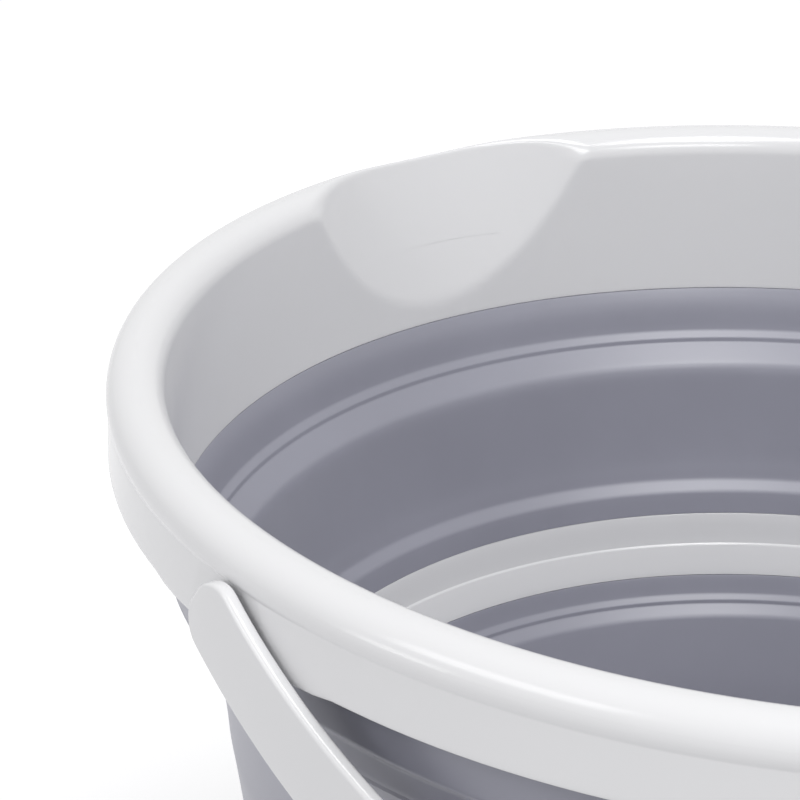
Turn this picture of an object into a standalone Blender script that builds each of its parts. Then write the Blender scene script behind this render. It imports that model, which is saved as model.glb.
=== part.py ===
"""Collapsible camp bucket: a rolled rim with a pour spout, two soft walls that fold inside out, a stiff
ring between them, a cup-shaped base and a swinging bail handle.

The bucket stands on Z = 0 with its axis on Z. The handle's pivots lie on X, the pour spout faces +Y and
the handle hangs towards -Y. Lengths are in metres.
"""

import math

import bmesh
import bpy
from mathutils import Matrix, Vector

# Rim: a rolled lip, a skirt outside it and a wall inside it
LIP_RADIUS = 0.1570
LIP_ROUND = 0.0061
RIM_WALL = 0.0024
RIM_WALL_DEPTH = 0.0363
RIM_WALL_LEAN = 0.0013
RIM_TONGUE = 0.0013
RIM_TONGUE_DEPTH = 0.0192
CREASE_DEPTH = 0.0016
CREASE_INSET = 0.0004
SKIRT_DEPTH = 0.0138
SKIRT_FLARE = 0.0002
EDGE_ROUND = 0.0007
WEB_THICKNESS = 0.0014
WEB_DEPTH = 0.0085
WEB_COUNT = 24

# Pour spout: a round scoop that leans outwards, pressed into the inner wall
SPOUT_DEPTH = 0.0315
SPOUT_REACH = 0.0088
SPOUT_RADIUS = 0.0650
SPOUT_WALL = 0.0022

# Soft walls, top to bottom, each drawn between the stiff pieces that it joins
UPPER_FOLD_HEIGHT = 0.0570
UPPER_FOLD_REACH = 0.0194
LOWER_FOLD_HEIGHT = 0.0570
LOWER_FOLD_REACH = 0.0184
SOFT_SKIN = 0.0013
BAND_SKIN = 0.0010
BAND_DEPTH = 0.0118
COLLAR_PROUD = 0.0023
COLLAR_FOOT_PROUD = 0.0016

# Middle ring: two facets that meet at a crease
RING_HEIGHT = 0.0168
RING_CREASE_DEPTH = 0.0087
RING_CREASE_INSET = 0.0009
RING_FOOT_INSET = 0.0034
RING_WALL = 0.0024

# Base: a tapered cup on a foot ring
BASE_HEIGHT = 0.0589
BASE_WALL = 0.0024
BASE_TAPER = 0.0050
BASE_TONGUE = 0.0018
BASE_TONGUE_DEPTH = 0.0135
BASE_CORNER = 0.0075
BASE_FLOOR = 0.0024
FOOT_HEIGHT = 0.0030
FOOT_INSET = 0.0163
FOOT_WIDTH = 0.0036
HUB_RADIUS = 0.0240
HUB_WIDTH = 0.0020
HUB_HEIGHT = 0.0021
RIB_WIDTH = 0.0018
RIB_HEIGHT = 0.0018
RIB_COUNT = 12

# Bail handle: a flat strap that widens from its pivots to a thicker grip
STRAP_THICKNESS = 0.0030
STRAP_PIVOT_WIDTH = 0.0182
STRAP_END_LENGTH = 0.0065
STRAP_WIDTH = 0.0212
STRAP_ROUND = 0.0010
BAIL_STAND_OFF = 0.0020
GRIP_LENGTH = 0.1160
GRIP_WIDTH = 0.0250
GRIP_THICKNESS = 0.0085
GRIP_BLEND = 0.0260
PIVOT_DROP = 0.0093
PEG_RADIUS = 0.0029
PEG_HEAD_RADIUS = 0.0042
PEG_HEAD_LENGTH = 0.0016
BOSS_RADIUS = 0.0055
REST_ANGLE = math.radians(35.5)

# Recess in the skirt that the strap's end lies in, wider at its foot
RECESS_DEPTH = 0.0010
RECESS_TOP_WIDTH = 0.0180
RECESS_FOOT_WIDTH = 0.0286

# Fits between pieces
SEAT_GAP = 0.0003
PEG_GAP = 0.0003
CUT_OVERRUN = 0.0100
WELD_DISTANCE = 0.00001

# Fineness of round forms
ROUND_STEPS = 48
LIP_STEPS = 9
HOLLOW_STEPS = 4
CORNER_STEPS = 4
PEG_STEPS = 20
SPOUT_STEPS = 40
STRAP_STEPS = 40
SMOOTH_ANGLE = math.radians(32)

# Sections of the soft walls as (share of the wall's inward reach, share of its height), top first
UPPER_INNER_SHARES = (
    (0.08, 0.065),
    (0.225, 0.17),
    (0.28, 0.186),
    (0.335, 0.20),
    (0.35, 0.222),
    (0.338, 0.238),
    (0.385, 0.245),
    (0.44, 0.253),
    (0.49, 0.28),
    (0.53, 0.32),
    (0.57, 0.39),
    (0.63, 0.53),
    (0.68, 0.67),
    (0.73, 0.775),
    (0.77, 0.826),
    (0.82, 0.857),
    (0.95, 0.868),
    (0.975, 0.888),
)
UPPER_OUTER_SHARES = (
    (-0.11, -0.02),
    (-0.08, 0.01),
    (-0.02, 0.045),
    (0.06, 0.09),
    (0.155, 0.16),
    (0.22, 0.215),
    (0.30, 0.265),
    (0.37, 0.305),
    (0.44, 0.38),
    (0.53, 0.52),
    (0.593, 0.66),
    (0.62, 0.76),
    (0.665, 0.84),
)
LOWER_INNER_SHARES = (
    (0.07, 0.03),
    (0.18, 0.075),
    (0.235, 0.088),
    (0.28, 0.098),
    (0.30, 0.113),
    (0.295, 0.128),
    (0.34, 0.132),
    (0.385, 0.140),
    (0.425, 0.165),
    (0.46, 0.21),
    (0.52, 0.31),
    (0.61, 0.45),
    (0.69, 0.58),
    (0.75, 0.675),
    (0.79, 0.73),
    (0.83, 0.764),
    (0.95, 0.775),
    (0.975, 0.795),
)
LOWER_OUTER_SHARES = (
    (-0.09, 0.02),
    (0.03, 0.06),
    (0.13, 0.10),
    (0.20, 0.15),
    (0.27, 0.20),
    (0.34, 0.27),
    (0.42, 0.38),
    (0.50, 0.50),
    (0.57, 0.61),
    (0.62, 0.70),
    (0.64, 0.80),
)

# Places of the sections that round off each end of the strap, outermost first
ROUND_END_SHARES = (0.97, 0.80, 0.50, 0.0)

# Heights and radii that follow from the sizes above
RING_FOOT_Z = BASE_HEIGHT + LOWER_FOLD_HEIGHT
RING_TOP_Z = RING_FOOT_Z + RING_HEIGHT
RIM_FOOT_Z = RING_TOP_Z + UPPER_FOLD_HEIGHT
LIP_Z = RIM_FOOT_Z + RIM_WALL_DEPTH
LIP_CENTRE_RADIUS = LIP_RADIUS - LIP_ROUND
RIM_BORE = LIP_CENTRE_RADIUS - LIP_ROUND
RIM_FOOT_RADIUS = RIM_BORE - RIM_WALL_LEAN
TONGUE_RADIUS = RIM_FOOT_RADIUS + RIM_TONGUE
SKIRT_TOP_RADIUS = LIP_RADIUS - CREASE_INSET
SKIRT_FOOT_RADIUS = SKIRT_TOP_RADIUS + SKIRT_FLARE
SKIRT_FOOT_Z = LIP_Z - SKIRT_DEPTH
RING_RADIUS = RIM_FOOT_RADIUS - UPPER_FOLD_REACH
RING_FOOT_RADIUS = RING_RADIUS - RING_FOOT_INSET
RING_CREASE_RADIUS = RING_RADIUS - RING_CREASE_INSET
BASE_RADIUS = RING_FOOT_RADIUS - LOWER_FOLD_REACH
FOOT_RADIUS = BASE_RADIUS - FOOT_INSET
SPLIT_Z = RING_TOP_Z - RING_CREASE_DEPTH
PIVOT_Z = LIP_Z - PIVOT_DROP
RECESS_X = SKIRT_FOOT_RADIUS - RECESS_DEPTH
STRAP_INNER_X = LIP_RADIUS + SEAT_GAP * 2

SOFT_GREY = (0.245, 0.245, 0.290, 1.0)
GLOSS_WHITE = (0.860, 0.860, 0.870, 1.0)


def clear_scene():
    """Empties the scene of its objects."""
    for item in list(bpy.data.objects):
        bpy.data.objects.remove(item)


def plastic(name, colour, roughness):
    """Makes a plastic of one colour."""
    material = bpy.data.materials.new(name)
    material.use_nodes = True
    shader = material.node_tree.nodes["Principled BSDF"]
    shader.inputs["Base Color"].default_value = colour
    shader.inputs["Roughness"].default_value = roughness
    shader.inputs["Metallic"].default_value = 0.0
    return material


def add_mesh(name, points, edges, faces, collection):
    """Adds an object whose mesh has these points, edges and faces."""
    mesh = bpy.data.meshes.new(name)
    mesh.from_pydata(points, edges, faces)
    item = bpy.data.objects.new(name, mesh)
    collection.objects.link(item)
    return item


def turned(name, outline, collection, closed=True, steps=ROUND_STEPS):
    """Turns an outline of (radius, height) about Z. It runs down the piece's outer side."""
    points = [(radius, 0.0, height) for radius, height in outline]
    edges = [(i, i + 1) for i in range(len(points) - 1)]
    if closed:
        edges.append((len(points) - 1, 0))
    item = add_mesh(name, points, edges, [], collection)
    screw = item.modifiers.new("turn", "SCREW")
    screw.axis = "Z"
    screw.angle = math.tau
    screw.steps = steps
    screw.render_steps = steps
    screw.use_merge_vertices = True
    screw.merge_threshold = WELD_DISTANCE
    return item


def arc(centre, radius, start, end, steps):
    """Points on an arc in the (radius, height) plane, from angle start to angle end in degrees."""
    angles = [math.radians(start + (end - start) * i / steps) for i in range(steps + 1)]
    return [(centre[0] + radius * math.cos(a), centre[1] + radius * math.sin(a)) for a in angles]


def box_between(name, low, high, collection):
    """A box from its lowest to its highest corner."""
    mesh = bpy.data.meshes.new(name)
    shape = bmesh.new()
    size = Vector(high) - Vector(low)
    middle = (Vector(high) + Vector(low)) / 2
    placing = Matrix.Translation(middle) @ Matrix.Diagonal((*size, 1.0))
    bmesh.ops.create_cube(shape, size=1.0, matrix=placing)
    shape.to_mesh(mesh)
    shape.free()
    item = bpy.data.objects.new(name, mesh)
    collection.objects.link(item)
    return item


def bar_along_x(name, radius, start, end, height, collection):
    """A round bar of this radius along X, from start to end, at this height."""
    mesh = bpy.data.meshes.new(name)
    shape = bmesh.new()
    placing = Matrix.Translation(((start + end) / 2, 0.0, height)) @ Matrix.Rotation(math.pi / 2, 4, "Y")
    bmesh.ops.create_cone(
        shape,
        cap_ends=True,
        segments=PEG_STEPS,
        radius1=radius,
        radius2=radius,
        depth=abs(end - start),
        matrix=placing,
    )
    shape.to_mesh(mesh)
    shape.free()
    item = bpy.data.objects.new(name, mesh)
    collection.objects.link(item)
    return item


def combine(item, other, operation):
    """Joins another object to this one, cuts it away or keeps what both share."""
    change = item.modifiers.new(other.name, "BOOLEAN")
    change.operation = operation
    change.object = other
    change.solver = "EXACT"
    other.hide_render = True
    other.display_type = "WIRE"
    return change


def settle(item):
    """Turns an object and its modifiers into one plain mesh."""
    graph = bpy.context.evaluated_depsgraph_get()
    mesh = bpy.data.meshes.new_from_object(item.evaluated_get(graph))
    item.modifiers.clear()
    item.data = mesh
    return item


def finish(item, material):
    """Gives a finished piece its material and smooth shading with crisp edges."""
    settle(item)
    item.data.materials.clear()
    item.data.materials.append(material)
    item.data.shade_smooth()
    item.data.set_sharp_from_angle(angle=SMOOTH_ANGLE)


def rim_wall_radius(height):
    """Inner radius of the rim's wall at a height: it leans in towards its foot."""
    share = (LIP_Z - height) / RIM_WALL_DEPTH
    return RIM_BORE - RIM_WALL_LEAN * share


def rim_outline():
    """Section of the rim: lip, skirt, the hollow under the lip and the inner wall with its tongue."""
    lip = (LIP_CENTRE_RADIUS, LIP_Z)
    tongue_z = LIP_Z - RIM_WALL_DEPTH + RIM_TONGUE_DEPTH
    hollow = LIP_ROUND - RIM_WALL
    skirt_inner = SKIRT_FOOT_RADIUS - RIM_WALL
    outline = arc(lip, LIP_ROUND, 90, 0, LIP_STEPS // 2 + 1)
    outline.append((SKIRT_TOP_RADIUS, LIP_Z - CREASE_DEPTH))
    outline.append((SKIRT_FOOT_RADIUS, SKIRT_FOOT_Z + EDGE_ROUND))
    outline.append((SKIRT_FOOT_RADIUS - EDGE_ROUND, SKIRT_FOOT_Z))
    outline.append((skirt_inner, SKIRT_FOOT_Z))
    outline += arc(lip, hollow, 0, 180, HOLLOW_STEPS)
    outline.append((rim_wall_radius(tongue_z) + RIM_WALL, tongue_z))
    outline.append((TONGUE_RADIUS, tongue_z - SEAT_GAP))
    outline.append((TONGUE_RADIUS, RIM_FOOT_Z))
    outline.append((RIM_FOOT_RADIUS, RIM_FOOT_Z))
    outline += arc(lip, LIP_ROUND, 180, 90, LIP_STEPS // 2 + 1)[:-1]
    return outline


def spout_form(name, growth, collection):
    """The scoop's leaning round bar, with its outermost line through the wall at the spout's foot and rim."""
    foot = Vector((0.0, rim_wall_radius(LIP_Z - SPOUT_DEPTH), LIP_Z - SPOUT_DEPTH))
    head = Vector((0.0, RIM_BORE + SPOUT_REACH, LIP_Z))
    run = (head - foot).normalized()
    out = Vector((0.0, run.z, -run.y))
    half = (head - foot).length / 2 + CUT_OVERRUN
    radius = SPOUT_RADIUS + growth
    outline = [(0.0, half), (radius, half), (radius, -half), (0.0, -half)]
    item = turned(name, outline, collection, closed=False, steps=SPOUT_STEPS)
    side = Vector((1.0, 0.0, 0.0))
    place = Matrix((side, out, run)).transposed().to_4x4()
    centre = (head + foot) / 2 - out * SPOUT_RADIUS
    item.matrix_world = Matrix.Translation(centre) @ place
    return item


def spout_backing(collection):
    """The wall behind the scoop: its round grown by one wall, kept inside the hollow of the rim."""
    inner = RIM_BORE + RIM_WALL / 2
    outer = SKIRT_TOP_RADIUS - RIM_WALL / 2
    low = RIM_FOOT_Z + RIM_TONGUE
    high = LIP_Z + LIP_ROUND - RIM_WALL
    foot_inner = rim_wall_radius(low) + RIM_TONGUE / 2
    outline = [(outer, high), (outer, low), (foot_inner, low), (inner, high)]
    band = turned("spout_backing", outline, collection)
    combine(band, spout_form("spout_backing_round", SPOUT_WALL, collection), "INTERSECT")
    front = box_between(
        "spout_backing_front",
        (-LIP_RADIUS, 0.0, low - CUT_OVERRUN),
        (LIP_RADIUS, LIP_RADIUS + CUT_OVERRUN, high + CUT_OVERRUN),
        collection,
    )
    combine(band, front, "INTERSECT")
    return band


def spokes(name, count, radii, heights, width, collection):
    """Upright radial plates in a ring, each from the first radius to the second."""
    mesh = bpy.data.meshes.new(name)
    shape = bmesh.new()
    size = (radii[1] - radii[0], width, heights[1] - heights[0], 1.0)
    middle = Matrix.Translation(((radii[0] + radii[1]) / 2, 0.0, (heights[0] + heights[1]) / 2))
    for i in range(count):
        turn = Matrix.Rotation(math.tau * (i + 0.5) / count, 4, "Z")
        bmesh.ops.create_cube(shape, size=1.0, matrix=turn @ middle @ Matrix.Diagonal(size))
    shape.to_mesh(mesh)
    shape.free()
    item = bpy.data.objects.new(name, mesh)
    collection.objects.link(item)
    return item


def rim_webs(collection):
    """Thin upright webs in the hollow between the skirt and the inner wall."""
    inner = RIM_BORE + RIM_WALL / 2
    outer = SKIRT_TOP_RADIUS - RIM_WALL / 2
    low = LIP_Z - WEB_DEPTH
    high = LIP_Z + RIM_WALL / 2
    return spokes("rim_webs", WEB_COUNT, (inner, outer), (low, high), WEB_THICKNESS, collection)


def recess_form(name, side, collection):
    """The wedge that leaves the recess on one side: from the crease to below the skirt, wider at its foot."""
    low = SKIRT_FOOT_Z - CUT_OVERRUN
    high = LIP_Z - CREASE_DEPTH
    widening = (RECESS_FOOT_WIDTH - RECESS_TOP_WIDTH) / (high - SKIRT_FOOT_Z)
    low_half = (RECESS_TOP_WIDTH + widening * (high - low)) / 2
    ends = sorted((side * RECESS_X, side * (RECESS_X + CUT_OVERRUN)))
    item = box_between(name, (ends[0], -low_half, low), (ends[1], low_half, high), collection)
    for vertex in item.data.vertices:
        if vertex.co.z > (low + high) / 2:
            vertex.co.y *= RECESS_TOP_WIDTH / (2 * low_half)
    return item


def build_rim(parts, tools):
    """The rim with its webs, pour spout, and the recess, spacer boss and peg hole of each pivot."""
    rim = turned("rim", rim_outline(), parts)
    combine(rim, rim_webs(tools), "UNION")
    combine(rim, spout_backing(tools), "UNION")
    combine(rim, spout_form("spout_scoop", 0.0, tools), "DIFFERENCE")
    skirt_middle = SKIRT_TOP_RADIUS - RIM_WALL / 2
    skirt_zone = box_between(
        "skirt_zone",
        (-LIP_RADIUS - CUT_OVERRUN, -BOSS_RADIUS - CUT_OVERRUN, SKIRT_FOOT_Z),
        (LIP_RADIUS + CUT_OVERRUN, BOSS_RADIUS + CUT_OVERRUN, LIP_Z - CREASE_DEPTH),
        tools,
    )
    for side, word in ((1, "right"), (-1, "left")):
        combine(rim, recess_form(f"recess_{word}", side, tools), "DIFFERENCE")
        boss = bar_along_x(
            f"boss_{word}", BOSS_RADIUS, side * skirt_middle, side * LIP_RADIUS, PIVOT_Z, tools
        )
        combine(boss, skirt_zone, "INTERSECT")
        combine(rim, boss, "UNION")
        hole_start = side * (RIM_BORE + RIM_WALL + CUT_OVERRUN / 2)
        hole_end = side * (LIP_RADIUS + CUT_OVERRUN)
        hole = bar_along_x(f"peg_hole_{word}", PEG_RADIUS + PEG_GAP, hole_start, hole_end, PIVOT_Z, tools)
        combine(rim, hole, "DIFFERENCE")
    return rim


def soft_outline(head, foot, shares, band, collar):
    """Section of a soft wall from the stiff piece above it (head) to the one below it (foot).

    shares are those of the inner and the outer side. band holds the outline outside the upper piece, top
    first, and collar the one outside the lower piece.
    """
    reach = head[0] - foot[0]
    drop = head[1] - foot[1]
    inner, outer = [[(head[0] - reach * s, head[1] - drop * t) for s, t in side] for side in shares]
    return band["outer"] + outer + collar["outer"] + collar["inner"] + inner[::-1] + band["inner"]


def build_upper_fold(parts, tools):
    """The upper soft wall, moulded over the rim's tongue and over the top of the middle ring."""
    band_radius = TONGUE_RADIUS + SEAT_GAP + BAND_SKIN
    band_foot = RIM_FOOT_Z + RIM_TONGUE_DEPTH - BAND_DEPTH
    tongue_side = TONGUE_RADIUS + SEAT_GAP
    band = {
        "outer": [
            (band_radius, RIM_FOOT_Z + RIM_TONGUE_DEPTH - SEAT_GAP * 2),
            (band_radius, band_foot),
            (band_radius - EDGE_ROUND, band_foot - EDGE_ROUND * 2),
        ],
        "inner": [
            (RIM_FOOT_RADIUS, RIM_FOOT_Z - SEAT_GAP),
            (tongue_side, RIM_FOOT_Z - SEAT_GAP),
            (tongue_side, RIM_FOOT_Z + RIM_TONGUE_DEPTH - SEAT_GAP * 2),
        ],
    }
    split_share = RING_CREASE_DEPTH / RING_HEIGHT
    ring_top = RING_RADIUS + RING_WALL + SEAT_GAP
    ring_split = ring_outer_radius(SPLIT_Z) + SEAT_GAP
    collar = {
        "outer": [
            (ring_top + COLLAR_PROUD, RING_TOP_Z),
            (ring_split + COLLAR_PROUD + (COLLAR_FOOT_PROUD - COLLAR_PROUD) * split_share, SPLIT_Z),
        ],
        "inner": [
            (ring_split, SPLIT_Z),
            (ring_top, RING_TOP_Z + SEAT_GAP),
            (RING_RADIUS, RING_TOP_Z + SEAT_GAP),
        ],
    }
    shares = (UPPER_INNER_SHARES, UPPER_OUTER_SHARES)
    outline = soft_outline((RIM_FOOT_RADIUS, RIM_FOOT_Z), (RING_RADIUS, RING_TOP_Z), shares, band, collar)
    wall = turned("upper_fold_wall", outline, parts)
    combine(wall, spout_form("spout_clearance", SPOUT_WALL + SEAT_GAP, tools), "DIFFERENCE")
    return wall


def ring_outer_radius(height):
    """Outer radius of the middle ring at a height."""
    drop = RING_TOP_Z - height
    if drop <= RING_CREASE_DEPTH:
        inset = RING_CREASE_INSET * drop / RING_CREASE_DEPTH
    else:
        share = (drop - RING_CREASE_DEPTH) / (RING_HEIGHT - RING_CREASE_DEPTH)
        inset = RING_CREASE_INSET + (RING_FOOT_INSET - RING_CREASE_INSET) * share
    return RING_RADIUS - inset + RING_WALL


def build_middle_ring(parts):
    """The stiff ring between the soft walls."""
    crease_z = RING_TOP_Z - RING_CREASE_DEPTH
    outline = [
        (RING_RADIUS + RING_WALL, RING_TOP_Z),
        (RING_CREASE_RADIUS + RING_WALL, crease_z),
        (RING_FOOT_RADIUS + RING_WALL, RING_FOOT_Z),
        (RING_FOOT_RADIUS, RING_FOOT_Z),
        (RING_CREASE_RADIUS, crease_z),
        (RING_RADIUS, RING_TOP_Z),
    ]
    return turned("middle_ring", outline, parts)


def base_outer_radius(height):
    """Outer radius of the base below its tongue, at a height."""
    share = (BASE_HEIGHT - height) / BASE_HEIGHT
    return BASE_RADIUS + BASE_WALL + (BASE_WALL - BASE_TONGUE) + SOFT_SKIN - BASE_TAPER * share


def build_lower_fold(parts):
    """The lower soft wall, moulded over the middle ring's foot and over the base's tongue."""
    split_top = SPLIT_Z - SEAT_GAP
    ring_split = ring_outer_radius(split_top) + SEAT_GAP
    ring_foot = RING_FOOT_RADIUS + RING_WALL + SEAT_GAP
    split_share = RING_CREASE_DEPTH / RING_HEIGHT
    split_proud = COLLAR_PROUD + (COLLAR_FOOT_PROUD - COLLAR_PROUD) * split_share
    band = {
        "outer": [
            (ring_split + split_proud, split_top),
            (ring_foot + COLLAR_FOOT_PROUD, RING_FOOT_Z),
        ],
        "inner": [
            (RING_FOOT_RADIUS, RING_FOOT_Z - SEAT_GAP),
            (ring_foot, RING_FOOT_Z - SEAT_GAP),
            (ring_split, split_top),
        ],
    }
    tongue_side = BASE_RADIUS + BASE_TONGUE + SEAT_GAP
    collar_foot = BASE_HEIGHT - BASE_TONGUE_DEPTH + SEAT_GAP * 2
    collar = {
        "outer": [
            (tongue_side + COLLAR_PROUD, BASE_HEIGHT),
            (base_outer_radius(collar_foot), collar_foot),
        ],
        "inner": [
            (tongue_side, collar_foot),
            (tongue_side, BASE_HEIGHT + SEAT_GAP),
            (BASE_RADIUS, BASE_HEIGHT + SEAT_GAP),
        ],
    }
    shares = (LOWER_INNER_SHARES, LOWER_OUTER_SHARES)
    outline = soft_outline((RING_FOOT_RADIUS, RING_FOOT_Z), (BASE_RADIUS, BASE_HEIGHT), shares, band, collar)
    return turned("lower_fold_wall", outline, parts)


def base_outline():
    """Section of the base: tongue, tapered wall, round corner, flat floor."""
    shoulder = BASE_HEIGHT - BASE_TONGUE_DEPTH
    under = FOOT_HEIGHT
    corner_outer = base_outer_radius(under + BASE_CORNER)
    corner_inner = corner_outer - BASE_WALL
    floor = under + BASE_FLOOR
    inner_corner = BASE_CORNER - BASE_WALL
    inner_centre = (corner_inner - inner_corner, floor + inner_corner)
    outer_centre = (corner_outer - BASE_CORNER, under + BASE_CORNER)
    outline = [(0.0, floor)]
    outline += arc(inner_centre, inner_corner, -90, 0, CORNER_STEPS)
    outline.append((BASE_RADIUS, BASE_HEIGHT))
    outline.append((BASE_RADIUS + BASE_TONGUE, BASE_HEIGHT))
    outline.append((BASE_RADIUS + BASE_TONGUE, shoulder + SEAT_GAP))
    outline.append((base_outer_radius(shoulder), shoulder))
    outline += arc(outer_centre, BASE_CORNER, 0, -90, CORNER_STEPS)
    hub_low = FOOT_HEIGHT - HUB_HEIGHT
    for radius, width, low in ((FOOT_RADIUS, FOOT_WIDTH, 0.0), (HUB_RADIUS, HUB_WIDTH, hub_low)):
        outline.append((radius + width / 2, under))
        outline.append((radius + width / 2, low))
        outline.append((radius - width / 2, low))
        outline.append((radius - width / 2, under))
    outline.append((0.0, under))
    return outline


def floor_ribs(tools):
    """The radial ribs under the floor, from the hub ring to the foot ring and let into the floor."""
    rib_low = FOOT_HEIGHT - RIB_HEIGHT
    rib_seat = FOOT_HEIGHT + BASE_FLOOR / 2
    return spokes(
        "floor_ribs", RIB_COUNT, (HUB_RADIUS, FOOT_RADIUS), (rib_low, rib_seat), RIB_WIDTH, tools
    )


def build_base(parts, tools):
    """The base cup with its foot ring and floor ribs."""
    base = turned("base", base_outline(), parts, closed=False)
    combine(base, floor_ribs(tools), "UNION")
    return base


def bail_reach():
    """Distance from the pivots to the inner face at mid-grip, where the hanging grip meets the ring's collar."""
    corners = (
        (RING_FOOT_RADIUS + RING_WALL + SEAT_GAP + COLLAR_FOOT_PROUD, RING_FOOT_Z),
        (RING_RADIUS + RING_WALL + SEAT_GAP + COLLAR_PROUD, RING_TOP_Z),
    )
    along = [r * math.cos(REST_ANGLE) + (PIVOT_Z - z) * math.sin(REST_ANGLE) for r, z in corners]
    return max(along) + BAIL_STAND_OFF


def smooth_share(value):
    """Eases a share between 0 and 1."""
    t = max(0.0, min(1.0, value))
    return t * t * (3 - 2 * t)


def strap_section(half_width, thickness):
    """Rounded rectangle as (outward, across) points."""
    edge = min(STRAP_ROUND, half_width / 3, thickness / 3)
    soft = edge * (1 - math.cos(math.pi / 4))
    return [
        (0.0, -half_width + edge),
        (soft, -half_width + soft),
        (edge, -half_width),
        (thickness - edge, -half_width),
        (thickness - soft, -half_width + soft),
        (thickness, -half_width + edge),
        (thickness, half_width - edge),
        (thickness - soft, half_width - soft),
        (thickness - edge, half_width),
        (edge, half_width),
        (soft, half_width - soft),
        (0.0, half_width - edge),
    ]


def bail_stations():
    """Stations along the bail: inner point, outward direction, half width and thickness in its own plane."""
    reach = bail_reach()
    stations = []
    for share in ROUND_END_SHARES:
        half_width = STRAP_PIVOT_WIDTH / 2 * math.sqrt(1 - share * share)
        place = (STRAP_INNER_X, -STRAP_END_LENGTH * share)
        stations.append((place, (1.0, 0.0), half_width, STRAP_THICKNESS))
    for i in range(STRAP_STEPS + 1):
        angle = math.pi * i / STRAP_STEPS
        x = STRAP_INNER_X * math.cos(angle)
        y = reach * math.sin(angle)
        out = Vector((math.cos(angle) / STRAP_INNER_X, math.sin(angle) / reach)).normalized()
        widening = smooth_share(y / (reach / 2))
        half_width = (STRAP_PIVOT_WIDTH + (STRAP_WIDTH - STRAP_PIVOT_WIDTH) * widening) / 2
        grip = smooth_share((GRIP_LENGTH / 2 + GRIP_BLEND - abs(x)) / GRIP_BLEND)
        if y < reach / 2:
            grip = 0.0
        half_width += (GRIP_WIDTH - STRAP_WIDTH) / 2 * grip
        thickness = STRAP_THICKNESS + (GRIP_THICKNESS - STRAP_THICKNESS) * grip
        stations.append(((x, y), tuple(out), half_width, thickness))
    ends = stations[: len(ROUND_END_SHARES)]
    mirrored = [((-p[0], p[1]), (-o[0], o[1]), h, t) for p, o, h, t in ends]
    return stations + mirrored[::-1]


def build_handle(parts, tools):
    """The bail: a lofted strap with a peg at each end, hung at its resting angle."""
    points = []
    faces = []
    stations = bail_stations()
    for place, out, half_width, thickness in stations:
        for outward, across in strap_section(half_width, thickness):
            points.append((place[0] + out[0] * outward, -(place[1] + out[1] * outward), across))
    count = len(strap_section(STRAP_WIDTH / 2, STRAP_THICKNESS))
    for ring in range(len(stations) - 1):
        for i in range(count):
            j = (i + 1) % count
            a = ring * count
            b = a + count
            faces.append((a + i, a + j, b + j, b + i))
    faces.append(tuple(range(count))[::-1])
    last = (len(stations) - 1) * count
    faces.append(tuple(range(last, last + count)))
    handle = add_mesh("handle", points, [], faces, parts)
    shape = bmesh.new()
    shape.from_mesh(handle.data)
    bmesh.ops.recalc_face_normals(shape, faces=shape.faces)
    shape.to_mesh(handle.data)
    shape.free()
    handle.location = (0.0, 0.0, PIVOT_Z)
    handle.rotation_euler = (REST_ANGLE, 0.0, 0.0)
    skirt_inside = SKIRT_TOP_RADIUS - RIM_WALL
    for side, word in ((1, "right"), (-1, "left")):
        inner_end = side * (skirt_inside - PEG_GAP - PEG_HEAD_LENGTH)
        peg = bar_along_x(
            f"peg_{word}", PEG_RADIUS, inner_end, side * (STRAP_INNER_X + STRAP_THICKNESS / 2), PIVOT_Z, tools
        )
        combine(handle, peg, "UNION")
        head_start = side * (skirt_inside - PEG_GAP)
        head = bar_along_x(f"peg_head_{word}", PEG_HEAD_RADIUS, head_start, inner_end, PIVOT_Z, tools)
        combine(handle, head, "UNION")
    return handle


def main():
    """Builds the bucket's pieces."""
    clear_scene()
    parts = bpy.data.collections.new("collapsible_camp_bucket")
    tools = bpy.data.collections.new("cutters")
    bpy.context.scene.collection.children.link(parts)
    bpy.context.scene.collection.children.link(tools)
    white = plastic("gloss_white_plastic", GLOSS_WHITE, 0.22)
    grey = plastic("soft_grey_rubber", SOFT_GREY, 0.48)
    finish(build_rim(parts, tools), white)
    finish(build_upper_fold(parts, tools), grey)
    finish(build_middle_ring(parts), white)
    finish(build_lower_fold(parts), grey)
    finish(build_base(parts, tools), white)
    finish(build_handle(parts, tools), white)


main()
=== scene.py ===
"""A collapsible camp bucket with a white rolled rim, soft grey folding walls and a swinging bail handle.

The bucket stands on the floor with its axis on Z. Its handle turns about X, its pour spout faces +Y and
the handle hangs towards -Y. Lengths are in metres.
"""

from __future__ import annotations

import logging
import math
from collections.abc import Sequence
from dataclasses import dataclass, field, replace
from enum import Enum

import bmesh
import bpy
import numpy as np
from bpy.types import Material, Node, NodeSocket, NodeTree, Object
from mathutils import Matrix, Vector

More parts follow.
